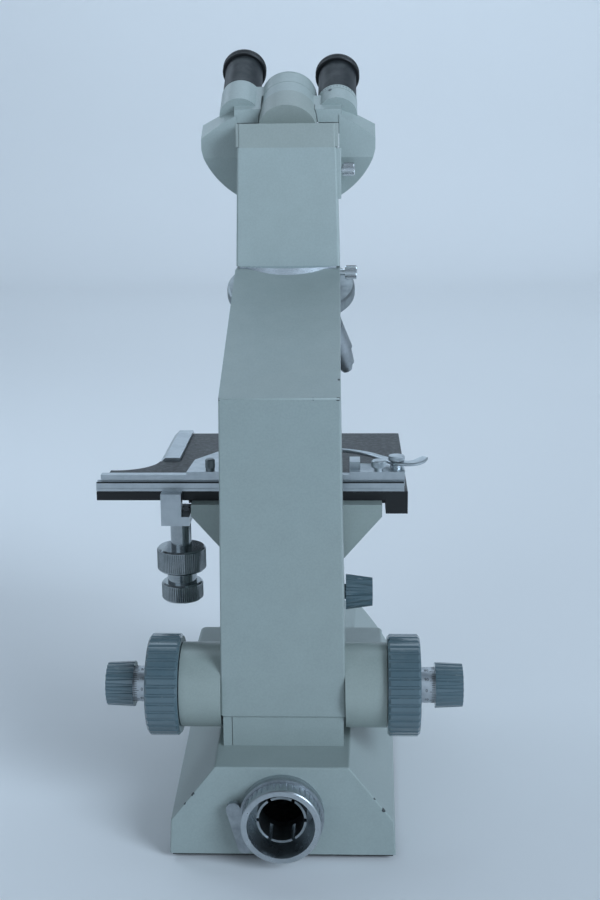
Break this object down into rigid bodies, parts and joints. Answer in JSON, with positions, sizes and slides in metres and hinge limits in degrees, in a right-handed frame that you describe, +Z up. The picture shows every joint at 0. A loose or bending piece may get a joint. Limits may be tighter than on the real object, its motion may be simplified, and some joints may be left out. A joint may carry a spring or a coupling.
{
  "type": "microscope",
  "caption": "Upright binocular laboratory microscope with a coaxial focus drive, mechanical stage, inclined turret and a lamp socket at the rear of its base.",
  "frame": {"origin": "where the optical axis meets the table", "axes": "+Z up along the optical axis, observer on the -Y side, lamp socket at the rear on the +Y side, +X to the observer's right"},
  "size_m": [0.2303, 0.3011, 0.4733],
  "materials": {
    "body_paint": "satin enamel",
    "boss_paint": "satin enamel",
    "head_paint": "satin enamel",
    "knob_slate": "moulded, glossy ribs",
    "stage_black": "black anodised, worn",
    "bright_metal": "satin turned",
    "chrome_metal": "polished",
    "knurled_steel": "knurled",
    "eyepiece_grey": "satin",
    "foot_rubber": "matte",
    "lens_glass": "polished",
    "lamp_mirror_face": "silvered",
    "socket_dark": "blackened spring steel"
  },
  "bodies": {
    "stand": {"base_casting": "body_paint", "base_plate": "stage_black", "rubber_feet": "foot_rubber", "gear_housing": "body_paint", "column_arm": "body_paint", "foot_cover": "body_paint", "drive_bosses": "boss_paint", "lamp_tube": "bright_metal", "lamp_sleeve": "socket_dark", "field_ring": "bright_metal", "field_lens": "lens_glass", "lamp_mirror": "lamp_mirror_face", "mirror_mount": "stage_black", "seat_plate": "chrome_metal", "tube_block": "body_paint", "head_body": "head_paint", "hinge_cap": "body_paint", "nosepiece_mount": "bright_metal"},
    "lamp_clamp": {"lamp_lever": "boss_paint"},
    "coarse_drive": {"coarse_shaft": "knurled_steel", "right_coarse_knob": "knob_slate", "left_coarse_knob": "knob_slate"},
    "fine_drive": {"fine_shaft": "knurled_steel", "scale_sleeves": "chrome_metal", "right_fine_knob": "knob_slate", "left_fine_knob": "knob_slate"},
    "focus_carriage": {"focus_slide": "knurled_steel"},
    "carrier": {"stage_carrier": "boss_paint"},
    "stage": {"stage_plate": "stage_black", "stage_guides": "stage_black", "side_strip": "bright_metal", "cross_rail": "bright_metal", "drive_bracket": "bright_metal"},
    "slider": {"cross_slider": "bright_metal", "side_jaw": "bright_metal", "jaw_knob": "knurled_steel", "finger_holder": "bright_metal", "holder_screws": "knurled_steel"},
    "finger": {"slide_finger": "bright_metal"},
    "stage_y_drive": {"y_knob": "knurled_steel"},
    "stage_x_drive": {"x_knob": "knurled_steel"},
    "condenser": {"condenser_slide": "boss_paint", "condenser_body": "stage_black", "condenser_lens": "lens_glass"},
    "iris": {"iris_lever": "knurled_steel"},
    "condenser_drive": {"condenser_knob": "knob_slate"},
    "nosepiece": {"turret": "knurled_steel", "objective_high": "chrome_metal", "objective_oil": "chrome_metal", "objective_low": "chrome_metal", "objective_medium": "chrome_metal"},
    "right_tube": {"right_housing": "body_paint"},
    "left_tube": {"left_housing": "body_paint"},
    "right_ocular": {"right_eyepiece": "eyepiece_grey", "right_eye_lens": "lens_glass"},
    "left_ocular": {"left_eyepiece": "eyepiece_grey", "left_eye_lens": "lens_glass"},
    "dioptre": {"diopter_ring": "body_paint"},
    "tube_clamp": {"tube_clamp_screw": "chrome_metal"},
    "head_clamp": {"head_clamp_screw": "chrome_metal"}
  },
  "joints": [
    {"name": "lamp_lever_turn", "type": "hinge", "parent": "stand", "child": "lamp_clamp", "pos_m": [0, 0.1994, 0.0307], "axis": [0, 1, 0], "range_deg": [-60, 10]},
    {"name": "focus_travel", "type": "slide", "parent": "stand", "child": "focus_carriage", "axis": [0, 0, 1], "range_m": [-0.01, 0.04]},
    {"name": "coarse_turn", "type": "hinge", "parent": "stand", "child": "coarse_drive", "pos_m": [0, 0.1453, 0.0911], "axis": [1, 0, 0], "range_deg": [-150, 580]},
    {"name": "fine_turn", "type": "hinge", "parent": "stand", "child": "fine_drive", "pos_m": [0, 0.1453, 0.0911], "axis": [1, 0, 0], "range_deg": [-1801, 1801]},
    {"name": "fine_travel", "type": "slide", "parent": "focus_carriage", "child": "carrier", "axis": [0, 0, 1], "range_m": [-0.001, 0.001]},
    {"name": "stage_y", "type": "slide", "parent": "carrier", "child": "stage", "axis": [0, 1, 0], "range_m": [-0.03, 0.012]},
    {"name": "stage_x", "type": "slide", "parent": "stage", "child": "slider", "axis": [1, 0, 0], "range_m": [-0.045, 0.003]},
    {"name": "y_knob_turn", "type": "hinge", "parent": "stage", "child": "stage_y_drive", "pos_m": [0.07, 0.073, 0.15], "axis": [0, 0, 1], "range_deg": [-365, 150]},
    {"name": "x_knob_turn", "type": "hinge", "parent": "stage", "child": "stage_x_drive", "pos_m": [0.07, 0.073, 0.13], "axis": [0, 0, 1], "range_deg": [-545, 40]},
    {"name": "finger_swing", "type": "hinge", "parent": "slider", "child": "finger", "pos_m": [-0.07, 0.073, 0.213], "axis": [0, 0, 1], "range_deg": [-35, 5]},
    {"name": "condenser_travel", "type": "slide", "parent": "carrier", "child": "condenser", "axis": [0, 0, 1], "range_m": [-0.012, 0.003]},
    {"name": "condenser_turn", "type": "hinge", "parent": "carrier", "child": "condenser_drive", "pos_m": [-0.045, 0.086, 0.13], "axis": [-1, 0, 0], "range_deg": [-232, 60]},
    {"name": "iris_swing", "type": "hinge", "parent": "condenser", "child": "iris", "pos_m": [0, 0, 0.1425], "axis": [0, 0, 1], "range_deg": [-45, 45]},
    {"name": "turret_turn", "type": "hinge", "parent": "stand", "child": "nosepiece", "pos_m": [0, -0.0145, 0.313], "axis": [0, 0.342, 0.9397], "continuous": true},
    {"name": "right_tube_fold", "type": "hinge", "parent": "stand", "child": "right_tube", "pos_m": [0, 0, 0.429], "axis": [0, -0.866, 0.5], "range_deg": [0, 28]},
    {"name": "left_tube_fold", "type": "hinge", "parent": "stand", "child": "left_tube", "pos_m": [0, 0, 0.429], "axis": [0, -0.866, 0.5], "range_deg": [-28, 0]},
    {"name": "right_ocular_slide", "type": "slide", "parent": "right_tube", "child": "right_ocular", "axis": [0, -0.866, 0.5], "range_m": [0, 0.01]},
    {"name": "dioptre_turn", "type": "hinge", "parent": "left_tube", "child": "dioptre", "pos_m": [-0.032, -0.0127, 0.4363], "axis": [0, -0.866, 0.5], "range_deg": [0, 301]},
    {"name": "left_ocular_slide", "type": "slide", "parent": "left_tube", "child": "left_ocular", "axis": [0, -0.866, 0.5], "range_m": [0, 0.0039]},
    {"name": "tube_clamp_turn", "type": "hinge", "parent": "stand", "child": "tube_clamp", "pos_m": [-0.04, 0.005, 0.327], "axis": [-1, 0, 0], "range_deg": [0, 720]},
    {"name": "head_clamp_turn", "type": "hinge", "parent": "stand", "child": "head_clamp", "pos_m": [-0.04, 0.014, 0.395], "axis": [-1, 0, 0], "range_deg": [0, 720]}
  ],
  "couplings": [
    {"joint": "coarse_turn", "follows": "focus_travel", "rad_per_m": 251.33},
    {"joint": "fine_turn", "follows": "fine_travel", "rad_per_m": 31416},
    {"joint": "y_knob_turn", "follows": "stage_y", "rad_per_m": 209.44},
    {"joint": "x_knob_turn", "follows": "stage_x", "rad_per_m": 209.44},
    {"joint": "condenser_turn", "follows": "condenser_travel", "rad_per_m": 333.33},
    {"joint": "left_tube_fold", "follows": "right_tube_fold", "ratio": -1},
    {"joint": "dioptre_turn", "follows": "left_ocular_slide", "rad_per_m": 1342.6}
  ]
}
